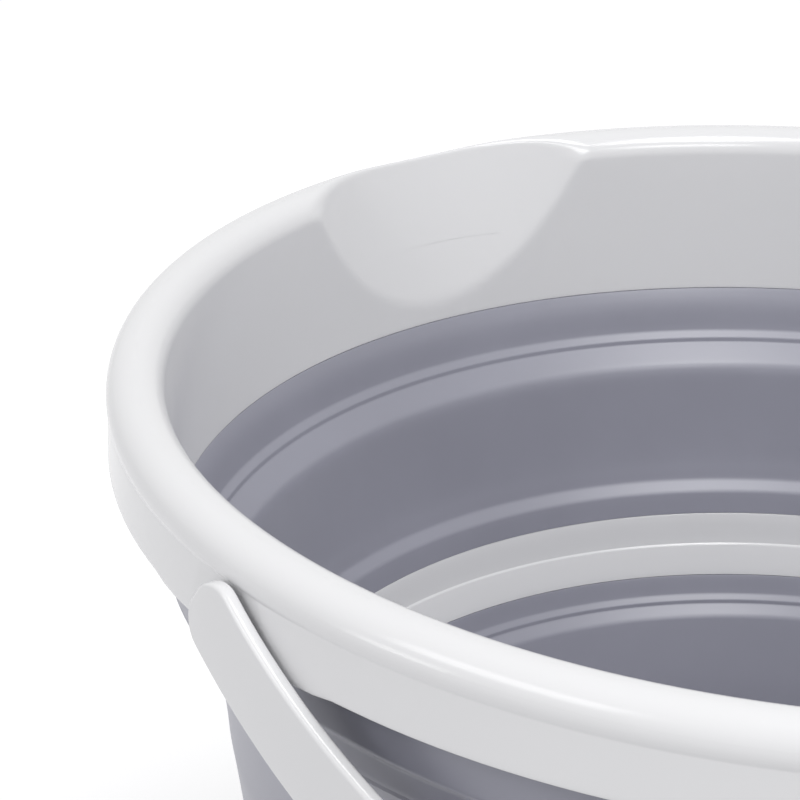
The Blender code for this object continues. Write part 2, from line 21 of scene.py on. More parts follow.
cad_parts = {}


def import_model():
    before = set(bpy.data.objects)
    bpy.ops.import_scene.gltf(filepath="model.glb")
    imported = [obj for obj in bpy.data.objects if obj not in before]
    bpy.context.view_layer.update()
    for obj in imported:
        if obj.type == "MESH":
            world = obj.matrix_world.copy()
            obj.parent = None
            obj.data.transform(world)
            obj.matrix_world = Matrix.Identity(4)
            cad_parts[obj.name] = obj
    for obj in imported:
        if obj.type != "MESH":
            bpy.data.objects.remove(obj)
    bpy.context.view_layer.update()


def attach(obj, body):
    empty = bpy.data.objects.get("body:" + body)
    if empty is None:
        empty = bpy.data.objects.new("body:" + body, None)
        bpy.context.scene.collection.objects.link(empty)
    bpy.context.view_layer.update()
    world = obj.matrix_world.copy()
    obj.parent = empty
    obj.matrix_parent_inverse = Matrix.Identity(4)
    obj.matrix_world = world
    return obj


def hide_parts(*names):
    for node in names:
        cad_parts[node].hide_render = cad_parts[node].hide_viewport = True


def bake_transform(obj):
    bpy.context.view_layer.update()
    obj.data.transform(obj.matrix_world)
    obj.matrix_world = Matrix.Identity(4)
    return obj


LOG = logging.getLogger("bucket")

Pair = tuple[float, float]
Triple = tuple[float, float, float]
Arrays = tuple[np.ndarray, np.ndarray]

MM = 0.001
PIXELS_ACROSS = 800.0
WELD_DISTANCE = 0.000002
WHITE = (1.0, 1.0, 1.0, 1.0)

# The height of the pivots, and how far off a limit a point still counts as on it, in millimetres.
PIVOT_Z = 216.7
SLACK = 0.1

# Where the finely divided stretch round the spout begins and what it covers, in degrees.
SPOUT_START = 66.0
SPOUT_TURN = 48.0


class Body(str, Enum):
    """The bodies that pieces ride on."""

    BASE = "base"
    MIDDLE_RING = "middle_ring"
    RIM = "rim"
    HANDLE = "handle"


class Slot(str, Enum):
    """The material slots of the bucket's record."""

    WHITE_PLASTIC = "white_plastic"
    GREY_RUBBER = "grey_rubber"
    HANDLE_PLASTIC = "handle_plastic"


def eased(value: float | np.ndarray) -> float | np.ndarray:
    """Eases a share, clipped to 0 and 1, so that it starts and ends gently."""
    share = np.clip(value, 0.0, 1.0)
    return share * share * (3.0 - 2.0 * share)


def soft_least(first: np.ndarray, second: np.ndarray, blend: np.ndarray) -> np.ndarray:
    """Gives the lesser of two lengths, rounded off where they are alike.

    Args:
        first: One length.
        second: The other length.
        blend: The differences over which the corner between them is rounded.

    Returns:
        The lesser length, a little less near the corner.
    """
    share = np.clip(blend - np.abs(first - second), 0.0, None) / blend
    return np.minimum(first, second) - share * share * blend / 4.0


def read_points(piece: Object) -> np.ndarray:
    """Reads a piece's points in millimetres, one in each row."""
    flat = np.empty(len(piece.data.vertices) * 3, dtype=np.float32)
    piece.data.vertices.foreach_get("co", flat)
    return flat.astype(float).reshape(-1, 3) / MM


def write_points(piece: Object, points: np.ndarray) -> None:
    """Writes a piece's points from millimetres."""
    piece.data.vertices.foreach_set("co", (points * MM).astype(np.float32).ravel())
    piece.data.update()


def polar(points: np.ndarray) -> Arrays:
    """Gives the distances of points from the axis and their directions in radians from +X."""
    return np.hypot(points[:, 0], points[:, 1]), np.arctan2(points[:, 1], points[:, 0])


def placed(radius: np.ndarray, angle: np.ndarray, height: np.ndarray) -> np.ndarray:
    """Gives points from their distances, directions and heights."""
    return np.stack((radius * np.cos(angle), radius * np.sin(angle), height), axis=1)


def pushed(points: np.ndarray, radius: np.ndarray) -> np.ndarray:
    """Moves points straight in or out to new distances from the axis."""
    scale = radius / np.hypot(points[:, 0], points[:, 1])
    return points * np.stack((scale, scale, np.ones_like(scale)), axis=1)


def open_newest(name: str) -> Object:
    """Names the newest object and starts to edit it."""
    piece = bpy.context.object
    piece.name = name
    piece.data.name = name
    bpy.ops.object.mode_set(mode="EDIT")
    return piece


def close_outwards() -> None:
    """Turns all faces of the edited piece outwards and ends the editing."""
    bpy.ops.mesh.select_all(action="SELECT")
    bpy.ops.mesh.normals_make_consistent(inside=False)
    bpy.ops.object.mode_set(mode="OBJECT")


def pick(piece: Object) -> None:
    """Makes a piece the active object and the only one selected."""
    bpy.ops.object.select_all(action="DESELECT")
    piece.select_set(True)
    bpy.context.view_layer.objects.active = piece


@dataclass(frozen=True)
class Corner:
    """A corner of a turned outline, in millimetres.

    Attributes:
        radius: Its distance from the axis.
        height: Its height.
        soft: How far along both sides it is rounded off.
        step: The longest face that the side after it is divided into.
    """

    radius: float
    height: float
    soft: float = 0.0
    step: float = 6.0


def outline(*rows: Sequence[float]) -> list[Corner]:
    """Gives an outline from rows of radius, height and, where needed, rounding and step."""
    return [Corner(*row) for row in rows]


@dataclass(frozen=True)
class Turn:
    """A stretch of a turned piece.

    Attributes:
        degrees: The angle that it covers.
        steps: The number of faces round it.
    """

    degrees: float
    steps: int


class Lathe:
    """Turns outlines about the Z axis.

    Attributes:
        bend_steps: The number of faces in a rounded corner.
        bend_share: The most of a side that a rounded corner takes up.
    """

    bend_steps = 3
    bend_share = 0.48

    def bend(self, before: Corner, here: Corner, after: Corner) -> list[Vector]:
        """Rounds off a corner between its neighbours.

        Args:
            before: The corner before it.
            here: The corner.
            after: The corner after it.

        Returns:
            The points that stand for the corner, in millimetres.
        """
        middle = Vector((here.radius, here.height))
        if here.soft <= 0.0:
            return [middle]
        back = Vector((before.radius, before.height)) - middle
        ahead = Vector((after.radius, after.height)) - middle
        start = middle + back.normalized() * min(here.soft, back.length * self.bend_share)
        end = middle + ahead.normalized() * min(here.soft, ahead.length * self.bend_share)
        shares = [step / self.bend_steps for step in range(self.bend_steps + 1)]
        return [start * (1 - s) ** 2 + middle * 2 * s * (1 - s) + end * s**2 for s in shares]

    def drawn(self, corners: Sequence[Corner]) -> list[Vector]:
        """Draws a closed outline with its corners rounded off and its long sides divided.

        Args:
            corners: The outline's corners in order.

        Returns:
            The outline's points as radius and height, in millimetres.
        """
        count = len(corners)
        bends = [self.bend(corners[i - 1], corners[i], corners[(i + 1) % count]) for i in range(count)]
        points: list[Vector] = []
        for index, bend in enumerate(bends):
            points += bend
            side = bends[(index + 1) % count][0] - bend[-1]
            parts = max(1, math.ceil(side.length / corners[index].step))
            points += [bend[-1] + side * part / parts for part in range(1, parts)]
        return points

    def turned(
        self, name: str, corners: Sequence[Corner], turns: Sequence[Turn], start: float = 0.0
    ) -> Object:
        """Turns a closed outline all the way round.

        Args:
            name: The piece's name.
            corners: The outline's corners.
            turns: The stretches round the axis, which add up to a full turn.
            start: The angle at which the first stretch begins, in degrees.

        Returns:
            The turned piece.
        """
        points = self.drawn(corners)
        bpy.ops.mesh.primitive_circle_add(vertices=len(points), radius=MM, fill_type="NOTHING")
        piece = open_newest(name)
        shape = bmesh.from_edit_mesh(piece.data)
        shape.verts.ensure_lookup_table()
        for vertex, (radius, height) in zip(shape.verts, points):
            vertex.co = Vector((radius, 0.0, height)) * MM
        axle = [e for e in shape.edges if all(v.co.xy.length < WELD_DISTANCE for v in e.verts)]
        bmesh.update_edit_mesh(piece.data)
        if axle:
            bpy.ops.mesh.select_all(action="DESELECT")
            for edge in axle:
                edge.select_set(True)
            bpy.ops.mesh.delete(type="EDGE")
        bpy.ops.object.mode_set(mode="OBJECT")
        screw = piece.modifiers.new("turn", "SCREW")
        screw.axis = "Z"
        screw.angle = math.tau
        screw.steps = sum(turn.steps for turn in turns)
        screw.use_merge_vertices = True
        screw.merge_threshold = WELD_DISTANCE
        bpy.ops.object.modifier_apply(modifier=screw.name)
        bpy.ops.object.mode_set(mode="EDIT")
        close_outwards()
        self.spread(piece, turns, start)
        return piece

    def spread(self, piece: Object, turns: Sequence[Turn], start: float) -> None:
        """Moves a turned piece's even steps to the stretches that they are meant for.

        Args:
            piece: The piece.
            turns: The stretches round the axis.
            start: The angle at which the first stretch begins, in degrees.
        """
        points = read_points(piece)
        radius, angle = polar(points)
        steps = np.cumsum([0] + [turn.steps for turn in turns])
        degrees = np.cumsum([start] + [turn.degrees for turn in turns])
        step = np.rint(np.degrees(angle) % 360.0 * steps[-1] / 360.0) % steps[-1]
        angle = np.radians(np.interp(step, steps, degrees))
        write_points(piece, placed(radius, angle, points[:, 2]))


LATHE = Lathe()


def smooth_faces(piece: Object, angle: float) -> None:
    """Shades a piece smooth, with crisp edges where it turns more sharply than an angle in degrees."""
    pick(piece)
    bpy.ops.object.shade_smooth_by_angle(angle=math.radians(angle))


@dataclass(frozen=True)
class Spokes:
    """Upright radial plates in a ring, one made and the others copied from it.

    Attributes:
        name: The name of the piece that they make up.
        count: The number of plates.
        start: The distance of their inner ends from the axis, in millimetres.
        end: The distance of their outer ends.
        low: The height of their lower edges.
        high: The height of their upper edges.
        width: Their thickness.
        bevel: The bevel along their lower edges as a share of that.
    """

    name: str
    count: int
    start: float
    end: float
    low: float
    high: float
    width: float
    bevel: float = 0.3

    def build(self) -> Object:
        """Builds the plates as one piece, rounded off along their lower edges."""
        turn = math.pi / self.count
        middle = (self.start + self.end) / 2
        place = (middle * math.cos(turn), middle * math.sin(turn), (self.low + self.high) / 2)
        bpy.ops.mesh.primitive_cube_add(
            size=MM,
            location=Vector(place) * MM,
            rotation=(0.0, 0.0, turn),
            scale=(self.end - self.start, self.width, self.high - self.low),
        )
        bpy.ops.object.transform_apply()
        plates = open_newest(self.name)
        bpy.ops.mesh.select_all(action="DESELECT")
        shape = bmesh.from_edit_mesh(plates.data)
        for edge in shape.edges:
            ends = [v.co.z / MM for v in edge.verts]
            is_long = edge.calc_length() / MM > self.width * 1.5
            if is_long and max(ends) < self.low + self.width / 2:
                edge.select_set(True)
        bmesh.update_edit_mesh(plates.data)
        bpy.ops.mesh.bevel(offset=self.width * self.bevel * MM, segments=2)
        bpy.ops.mesh.select_all(action="SELECT")
        bpy.ops.mesh.spin(steps=self.count, dupli=True, angle=math.tau, axis=(0.0, 0.0, 1.0))
        bpy.ops.mesh.select_all(action="SELECT")
        bpy.ops.mesh.remove_doubles(threshold=WELD_DISTANCE)
        close_outwards()
        return plates


class NodeSheet:
    """Lays out a material's nodes."""

    def __init__(self, name: str) -> None:
        """Starts a material of that name."""
        self.material = bpy.data.materials.new(name)
        self.material.use_nodes = True
        self.tree = self.material.node_tree
        self.shader = self.tree.nodes["Principled BSDF"]

    def add(self, kind: str, **values: object) -> Node:
        """Adds a node.

        Args:
            kind: The node's type.
            values: Its properties and, for names of sockets, their values.

        Returns:
            The node.
        """
        node = self.tree.nodes.new(kind)
        self.fill(node, **values)
        return node

    def fill(self, node: Node, **values: object) -> None:
        """Sets a node's properties and sockets by their names."""
        for key, value in values.items():
            if hasattr(node, key):
                setattr(node, key, value)
            else:
                node.inputs[key.replace("_", " ")].default_value = value

    def join(self, source: NodeSocket, target: NodeSocket) -> None:
        """Links two sockets."""
        self.tree.links.new(source, target)

    def noise(self, scale: float, detail: float, roughness: float) -> NodeSocket:
        """Adds a noise that lies fast on the piece and gives the socket with its value."""
        place = self.add("ShaderNodeTexCoord")
        texture = self.add("ShaderNodeTexNoise", Scale=scale, Detail=detail, Roughness=roughness)
        self.join(place.outputs["Object"], texture.inputs["Vector"])
        return texture.outputs["Fac"]


@dataclass(frozen=True)
class Finish:
    """A moulded surface whose colour, gloss and fine relief vary a little.

    Attributes:
        name: The material's name.
        colour: Its colour.
        shades: What the colour is multiplied by where it is darkest and where it is lightest.
        shade_range: The values of the first noise between which it changes.
        ior: Its index of refraction.
        sheen: The weight of its sheen.
        roughness: The least and the most of its roughness.
        relief: The strength of its relief and the height in metres.
        cloud: Scale, detail and roughness of the noise in the colour.
        wear: The same for the noise in the roughness.
        grain: The same for the noise in the relief.
    """

    name: str
    colour: Triple
    shades: Pair
    shade_range: Pair
    ior: float
    sheen: float
    roughness: Pair
    relief: Pair
    cloud: Triple
    wear: Triple
    grain: Triple

    def make(self) -> Material:
        """Makes the material."""
        sheet = NodeSheet(self.name)
        inputs = sheet.shader.inputs
        sheet.fill(sheet.shader, IOR=self.ior, Sheen_Weight=self.sheen)
        tint = sheet.add("ShaderNodeValToRGB")
        for element, share, value in zip(tint.color_ramp.elements, self.shades, self.shade_range):
            element.position = value
            element.color = (*[channel * share for channel in self.colour], 1.0)
        sheet.join(sheet.noise(*self.cloud), tint.inputs["Fac"])
        sheet.join(tint.outputs["Color"], inputs["Base Color"])
        rough = sheet.add("ShaderNodeMapRange", To_Min=self.roughness[0], To_Max=self.roughness[1])
        sheet.join(sheet.noise(*self.wear), rough.inputs["Value"])
        sheet.join(rough.outputs["Result"], inputs["Roughness"])
        bump = sheet.add("ShaderNodeBump", Strength=self.relief[0], Distance=self.relief[1])
        sheet.join(sheet.noise(*self.grain), bump.inputs["Height"])
        sheet.join(bump.outputs["Normal"], inputs["Normal"])
        return sheet.material


# Glossy white moulded plastic with a faint orange peel.
MOULDED_PLASTIC = Finish(
    name="moulded_white_plastic",
    colour=(0.755, 0.755, 0.768),
    shades=(0.975, 1.0),
    shade_range=(0.3, 0.7),
    ior=1.49,
    sheen=0.0,
    roughness=(0.14, 0.21),
    relief=(0.3, 0.000010),
    cloud=(9.0, 3.0, 0.5),
    wear=(60.0, 4.0, 0.6),
    grain=(420.0, 1.0, 0.4),
)

# The same, slightly less glossy.
STRAP_PLASTIC = replace(MOULDED_PLASTIC, name="handle_white_plastic", roughness=(0.17, 0.24))

# Satin grey thermoplastic rubber with a fine moulded grain.
SOFT_RUBBER = Finish(
    name="soft_grey_rubber",
    colour=(0.284, 0.286, 0.340),
    shades=(0.965, 1.025),
    shade_range=(0.32, 0.68),
    ior=1.58,
    sheen=0.06,
    roughness=(0.32, 0.42),
    relief=(0.4, 0.000016),
    cloud=(22.0, 3.0, 0.55),
    wear=(22.0, 3.0, 0.55),
    grain=(900.0, 2.0, 0.5),
)


def dress(
    piece: Object,
    material: Material,
    replaced: str | None = None,
    body: Body | None = None,
) -> None:
    """Gives a piece its material and says where it belongs.

    Args:
        piece: The piece.
        material: Its material.
        replaced: The node that it stands for, if it stands for one.
        body: The body that it rides on, if it rides on one.
    """
    piece.data.materials.clear()
    piece.data.materials.append(material)
    if replaced is not None:
        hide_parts(replaced)
    if body is not None:
        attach(piece, body.value)
    LOG.info("%s has %d faces", piece.name, len(piece.data.polygons))


def build_pivot_pair(
    stem: str, section: Sequence[Corner], start: float, material: Material, body: Body
) -> None:
    """Builds the same small turned piece at both pivots, laid along X.

    Args:
        stem: The beginning of both names.
        section: The piece's section.
        start: The distance of its foot from the bucket's axis, in millimetres.
        material: Its material.
        body: The body that it rides on.
    """
    for side, word in ((1.0, "right"), (-1.0, "left")):
        piece = LATHE.turned(f"{stem}_{word}", section, (Turn(360.0, 48),))
        pick(piece)
        piece.rotation_euler = (0.0, side * math.pi / 2, 0.0)
        piece.location = (side * start * MM, 0.0, PIVOT_Z * MM)
        bpy.ops.object.transform_apply()
        smooth_faces(piece, 35.0)
        dress(piece, material, body=body)


@dataclass
class Spout:
    """The pour spout: a barrel that leans outwards and is pressed into the rim's inner wall.

    Attributes:
        foot: Where the scoop's deepest line meets the wall, as Y and Z in millimetres.
        head: Where that line crosses the level of the lip's centre.
        radius: The barrel's radius in millimetres.
        side: How far from the middle the scoop is looked for.
        never: The share that stands for a ray that doesn't meet the barrel.
        least: The least length that a ray is taken to have.
    """

    foot: Pair = (143.68, 194.5)
    head: Pair = (153.6, 226.0)
    radius: float = 65.0
    side: float = 70.0
    never: float = 1e6
    least: float = 0.001

    def __post_init__(self) -> None:
        """Works out the barrel's axis."""
        foot, head = Vector(self.foot), Vector(self.head)
        run = (head - foot).normalized()
        self.out = Vector((run.y, -run.x))
        self.centre = (foot + head) / 2 - self.out * self.radius

    def away(self, depth: np.ndarray, height: np.ndarray) -> np.ndarray:
        """Gives the distance from the barrel's axis in the middle plane, for a Y and a height."""
        return (depth - self.centre.x) * self.out.x + (height - self.centre.y) * self.out.y

    def faced(self, points: np.ndarray) -> np.ndarray:
        """Tells which points lie on the spout's side of the bucket."""
        return (points[:, 1] > 0.0) & (np.abs(points[:, 0]) < self.side)

    def reach(self, angle: np.ndarray, height: np.ndarray, growth: float) -> np.ndarray:
        """Finds how far the barrel reaches from the bucket's axis.

        Args:
            angle: Directions from the axis, in radians from +X.
            height: Heights in millimetres.
            growth: How much larger the barrel is taken.

        Returns:
            The distances in millimetres, 0 where the barrel isn't reached.
        """
        flat = self.away(np.zeros_like(height), height)
        rise = np.sin(angle) * self.out.x
        square = np.cos(angle) ** 2 + rise**2
        inside = (rise * flat) ** 2 - square * (flat**2 - (self.radius + growth) ** 2)
        far = (np.sqrt(np.clip(inside, 0.0, None)) - rise * flat) / square
        return np.where(inside > 0.0, far, 0.0)

    def crossing(self, angle: np.ndarray, core: Arrays, ray: Arrays) -> np.ndarray:
        """Finds where rays from a core outside the barrel first meet it.

        Args:
            angle: Directions from the bucket's axis, in radians from +X.
            core: Radii and heights at which the rays start.
            ray: The rays as changes of radius and height.

        Returns:
            The shares of the rays at which they meet the barrel.
        """
        side, side_run = core[0] * np.cos(angle), ray[0] * np.cos(angle)
        deep = self.away(core[0] * np.sin(angle), core[1])
        deep_run = ray[0] * np.sin(angle) * self.out.x + ray[1] * self.out.y
        square = np.clip(side_run**2 + deep_run**2, 1e-9, None)
        half = side * side_run + deep * deep_run
        inside = half**2 - square * (side**2 + deep**2 - self.radius**2)
        share = (-half - np.sqrt(np.clip(inside, 0.0, None))) / square
        return np.where((inside > 0.0) & (share > 0.0), share, self.never)


@dataclass
class Rim:
    """The stiff white rim: a rolled lip, a skirt, an inner wall, webs, pivot recesses and the spout.

    Lengths are in millimetres.

    Attributes:
        lip_z: The height of the lip's centre.
        lip_radius: The distance of that centre from the axis.
        lip_round: The lip's own radius.
        hollow_round: The radius of the hollow under the lip.
        skirt_inner: The inner radius of the skirt.
        skirt_foot: The height of the skirt's foot.
        wall: The thickness of the wall behind the spout.
        wall_drop: How far below the lip's centre the inner wall ends.
        wall_back: The radius of its back above a step in it and below.
        step_drop: How far below the lip's centre that step begins and ends.
        edge_blend: How far the spout's edges are rounded on the inner wall.
        lip_blend: How far they are rounded on the lip.
        lip_rise: How far above the core that rounding starts, and the height over which it grows.
        core: Radius and height of the line inside the lip that the spout leaves whole.
        crease_z: The height of the crease between lip and skirt.
        recess_x: The distance of a recess's floor from the middle.
        recess_top: Half the width of a recess at the crease.
        recess_foot: Half its width at the skirt's foot.
        recess_edge: The width over which its edges are rounded.
        recess_rise: How far above the crease it begins.
        tongue: Half the width of the longer skirt at a pivot, where it ends, its drop and its height.
        side_x: The distance from the middle beyond which the rim is near a pivot.
        boss_round: Inner and outer radius of the spacer round a pivot's hole.
        boss_ends: The distances of the spacer's foot and face from the middle.
    """

    lip_z: float = 226.0
    lip_radius: float = 150.9
    lip_round: float = 6.1
    hollow_round: float = 3.7
    skirt_inner: float = 155.0
    skirt_foot: float = 212.2
    wall: float = 2.2
    wall_drop: float = 36.3
    wall_back: Pair = (146.0, 144.75)
    step_drop: Pair = (16.9, 17.2)
    edge_blend: float = 0.5
    lip_blend: float = 1.8
    lip_rise: Pair = (1.0, 4.0)
    core: Pair = (155.7, 224.8)
    crease_z: float = 224.4
    recess_x: float = 156.3
    recess_top: float = 9.0
    recess_foot: float = 14.3
    recess_edge: float = 1.3
    recess_rise: float = 0.3
    tongue: tuple[float, float, float, float] = (22.0, 31.0, 1.0, 2.0)
    side_x: float = 150.0
    boss_round: Pair = (3.2, 5.5)
    boss_ends: Pair = (155.4, 157.0)
    spout: Spout = field(default_factory=Spout)
    webs: Spokes = Spokes("rim_webs", count=24, start=146.0, end=155.4, low=217.5, high=227.2, width=1.4)

    def corners(self) -> list[Corner]:
        """Gives the rim's section away from its spout, finely divided on the inner wall."""
        wall_foot = self.lip_z - self.wall_drop
        step_top, step_foot = (self.lip_z - drop for drop in self.step_drop)
        upper_back, lower_back = self.wall_back
        angles = [*range(180, 70, -5), *range(70, 15, -3), *range(15, -16, -5)]
        return [
            Corner(143.5, wall_foot, 0.2, 0.7),
            *[self.on_round(self.lip_round, angle) for angle in angles],
            Corner(156.6, self.crease_z - 0.4, 0.5, 0.5),
            Corner(156.68, self.crease_z - 1.1, 0.8, 0.9),
            Corner(156.8, self.skirt_foot, 0.6),
            Corner(self.skirt_inner, self.skirt_foot, 0.5),
            *[self.on_round(self.hollow_round, angle) for angle in range(0, 181, 15)],
            Corner(upper_back, step_top, 0.3, 1.5),
            Corner(lower_back, step_foot, 0.3, 1.5),
            Corner(lower_back, wall_foot, 0.3),
        ]

    def on_round(self, radius: float, angle: float) -> Corner:
        """Gives a corner on a round about the lip's centre, at an angle in degrees."""
        turn = math.radians(angle)
        away, rise = radius * math.cos(turn), radius * math.sin(turn)
        return Corner(self.lip_radius + away, self.lip_z + rise, step=2.0)

    def in_channel(self, radius: np.ndarray, height: np.ndarray) -> np.ndarray:
        """Tells which points of the section face the hollow under the lip."""
        below = self.lip_z - height
        upper_back, lower_back = self.wall_back
        in_hollow = np.hypot(radius - self.lip_radius, below) < self.hollow_round + 3 * SLACK
        back = np.where(below < self.step_drop[1] - SLACK, upper_back - SLACK, lower_back - SLACK / 2)
        behind_wall = (radius > back) & (radius < self.skirt_inner + SLACK / 2)
        return np.where(below < SLACK / 2, in_hollow, behind_wall)

    def press_spout(self, points: np.ndarray) -> np.ndarray:
        """Presses the spout into the rim and keeps the wall behind it.

        Args:
            points: The rim's points.

        Returns:
            The points with the spout.
        """
        radius, angle = polar(points)
        height = points[:, 2]
        core_x, core_top = self.core
        backed = np.minimum(self.spout.reach(angle, height, self.wall), self.skirt_inner - SLACK)
        core_z = np.minimum(height, core_top)
        ray = (radius - core_x, height - core_z)
        length = np.clip(np.hypot(*ray), self.spout.least, None)
        met = self.spout.crossing(angle, (np.full_like(radius, core_x), core_z), ray) * length
        rise_start, rise = self.lip_rise
        on_lip = eased((height - core_top - rise_start) / rise)
        blend = self.edge_blend + (self.lip_blend - self.edge_blend) * on_lip
        kept = soft_least(length, met, blend) / length
        channel = self.in_channel(radius, height)
        pressed = np.where(channel, np.maximum(radius, backed), core_x + ray[0] * kept)
        raised = np.where(channel, height, core_z + ray[1] * kept)
        return np.where(self.spout.faced(points)[:, None], placed(pressed, angle, raised), points)

    def press_recesses(self, points: np.ndarray) -> np.ndarray:
        """Presses the recesses of the strap's ends into the skirt.

        Args:
            points: The rim's points.

        Returns:
            The points with the recesses.
        """
        across, along, height = points.T
        radius = np.hypot(across, along)
        rise = np.clip((height - self.skirt_foot) / (self.crease_z - self.skirt_foot), 0.0, 1.0)
        half = self.recess_foot + (self.recess_top - self.recess_foot) * rise
        share = eased((half - np.abs(along)) / self.recess_edge + 0.5)
        share = share * eased((self.crease_z + self.recess_rise - height) / self.recess_edge)
        floor = self.recess_x * radius / np.clip(np.abs(across), 1.0, None)
        dent = np.clip(radius - floor, 0.0, None) * share
        by_pivot = np.abs(across) > self.side_x
        dented = by_pivot & (radius > self.skirt_inner + 2 * SLACK)
        near, far, drop, top = self.tongue
        skirt = by_pivot & (radius > self.skirt_inner - SLACK) & (height < self.skirt_foot + top)
        shaped = pushed(points, np.where(dented, radius - dent, radius))
        shaped[:, 2] -= drop * eased((far - np.abs(along)) / (far - near)) * skirt
        return shaped

    def build(self, plastic: Material) -> None:
        """Builds the rim, its webs and its spacers of white plastic."""
        between, recess = Turn(58.5, 34), Turn(15.0, 92)
        turns = (Turn(SPOUT_TURN, 160), between, recess, Turn(165.0, 96), recess, between)
        rim = LATHE.turned("rim_shell", self.corners(), turns, SPOUT_START)
        write_points(rim, self.press_recesses(self.press_spout(read_points(rim))))
        smooth_faces(rim, 40.0)
        dress(rim, plastic, replaced="rim", body=Body.RIM)
        webs = self.webs.build()
        write_points(webs, self.cleared(read_points(webs)))
        dress(webs, plastic, body=Body.RIM)
        inner, outer = self.boss_round
        start, end = self.boss_ends
        depth = end - start
        spacer = outline((inner, 0.0), (outer, 0.0), (outer, depth, 0.3), (inner, depth, 0.2))
        build_pivot_pair("pivot_boss", spacer, start, plastic, Body.RIM)

    def cleared(self, points: np.ndarray) -> np.ndarray:
        """Moves the webs' points outwards where they would be in the spout."""
        radius, angle = polar(points)
        backed = self.spout.reach(angle, points[:, 2], self.wall / 2)
        moved = np.minimum(np.maximum(radius, backed), np.maximum(radius, self.webs.end - SLACK))
        return pushed(points, np.where(self.spout.faced(points), moved, radius))


@dataclass
class SoftWall:
    """A soft wall between the stiff piece above it and the one below it, built standing open.

    Attributes:
        name: The piece's name.
        node: The node that it stands for.
        head: Radius and height of the upper piece's inner foot in millimetres.
        foot: Radius and height of the lower piece's inner top.
        inner_shares: Its inner side, foot first: shares of reach and drop, and a rounding in millimetres.
        outer_shares: Its outer side, head first, in the same way.
        band: Corners over the upper piece, after the inner side: up its inside, then down its outside.
        collar: Corners over the lower piece: down its outside, then up its inside.
        upper_body: The body above; not used.
        lower_body: The body below; not used.
        fold_shares: The shares of the drop between which it turns inside out; not used.
        spout_gap: How far it keeps behind the wall of a spout.
        spout_skin: Its thickness there.
    """

    name: str
    node: str
    head: Pair
    foot: Pair
    inner_shares: Sequence[Triple]
    outer_shares: Sequence[Triple]
    band: Sequence[Corner]
    collar: Sequence[Corner]
    upper_body: Body
    lower_body: Body
    fold_shares: Pair
    spout_gap: float = 0.2
    spout_skin: float = 1.0

    def at(self, shares: Triple) -> Corner:
        """Places a corner given by its shares of the wall's reach and drop."""
        reach = self.head[0] - self.foot[0]
        return Corner(self.head[0] - reach * shares[0], self.height_at(shares[1]), shares[2], step=2.0)

    def height_at(self, share: float) -> float:
        """Gives the height at a share of the wall's drop, in millimetres."""
        return self.head[1] - (self.head[1] - self.foot[1]) * share

    def build(self, rubber: Material, spout_rim: Rim | None = None) -> None:
        """Builds the wall.

        Args:
            rubber: The grey rubber.
            spout_rim: The rim whose spout the wall's band goes round, if it does.
        """
        inner = [self.at(shares) for shares in self.inner_shares]
        outer = [self.at(shares) for shares in self.outer_shares]
        turns = (Turn(SPOUT_TURN, 72), Turn(360.0 - SPOUT_TURN, 216))
        wall = LATHE.turned(self.name, [*inner, *self.band, *outer, *self.collar], turns, SPOUT_START)
        if spout_rim is not None:
            write_points(wall, self.wrapped(read_points(wall), spout_rim))
        smooth_faces(wall, 50.0)
        dress(wall, rubber, replaced=self.node)
        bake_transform(wall)

    def wrapped(self, points: np.ndarray, rim: Rim) -> np.ndarray:
        """Leads the band among the wall's points round the back of a rim's spout."""
        radius, angle = polar(points)
        back, front = self.band[0].radius, self.band[1].radius
        clear = rim.spout.reach(angle, points[:, 2], rim.wall + self.spout_gap)
        clear = clear + np.where(radius > front + SLACK, self.spout_skin, 0.0)
        banded = (points[:, 2] > self.head[1] + 4 * SLACK) & (radius > back - 2 * SLACK)
        clear = np.where(rim.spout.faced(points) & banded, clear, 0.0)
        return pushed(points, np.maximum(radius, clear))


# The soft wall between the rim and the middle ring.
UPPER_WALL = SoftWall(
    name="upper_soft_wall",
    node="upper_fold_wall",
    head=(143.5, 189.65),
    foot=(124.1, 132.7),
    inner_shares=(
        (1.0, 0.9986, 0.0), (0.943, 0.896, 0.7), (0.804, 0.856, 0.6), (0.77, 0.81, 1.6),
        (0.73, 0.76, 2.2), (0.68, 0.66, 3.5), (0.63, 0.53, 4.0), (0.567, 0.347, 1.6),
        (0.526, 0.310, 0.8), (0.299, 0.243, 0.3), (0.263, 0.233, 0.3), (0.258, 0.213, 0.35),
        (0.17, 0.189, 0.5), (0.098, 0.066, 3.0), (0.0, 0.0005, 0.1),
    ),
    outer_shares=(
        (-0.082, -0.02, 1.0), (0.02, 0.05, 1.0), (0.06, 0.08, 1.5), (0.12, 0.16, 2.0),
        (0.175, 0.215, 2.0), (0.30, 0.275, 1.5), (0.37, 0.315, 2.0), (0.44, 0.38, 3.0),
        (0.53, 0.52, 4.0), (0.593, 0.66, 3.5), (0.62, 0.76, 2.5), (0.665, 0.84, 2.0),
    ),
    band=outline(
        (144.9, 189.62, 0.0), (144.9, 208.3, 0.2), (145.3, 208.3, 0.2), (147.1, 197.8, 0.8),
        (145.5, 196.2, 0.6),
    ),
    collar=outline(
        (129.1, 132.7, 2.5), (127.84, 124.0, 0.3), (125.95, 124.0, 0.1), (126.8, 132.78, 0.1),
    ),
    upper_body=Body.RIM,
    lower_body=Body.MIDDLE_RING,
    fold_shares=(0.28, 0.856),
)

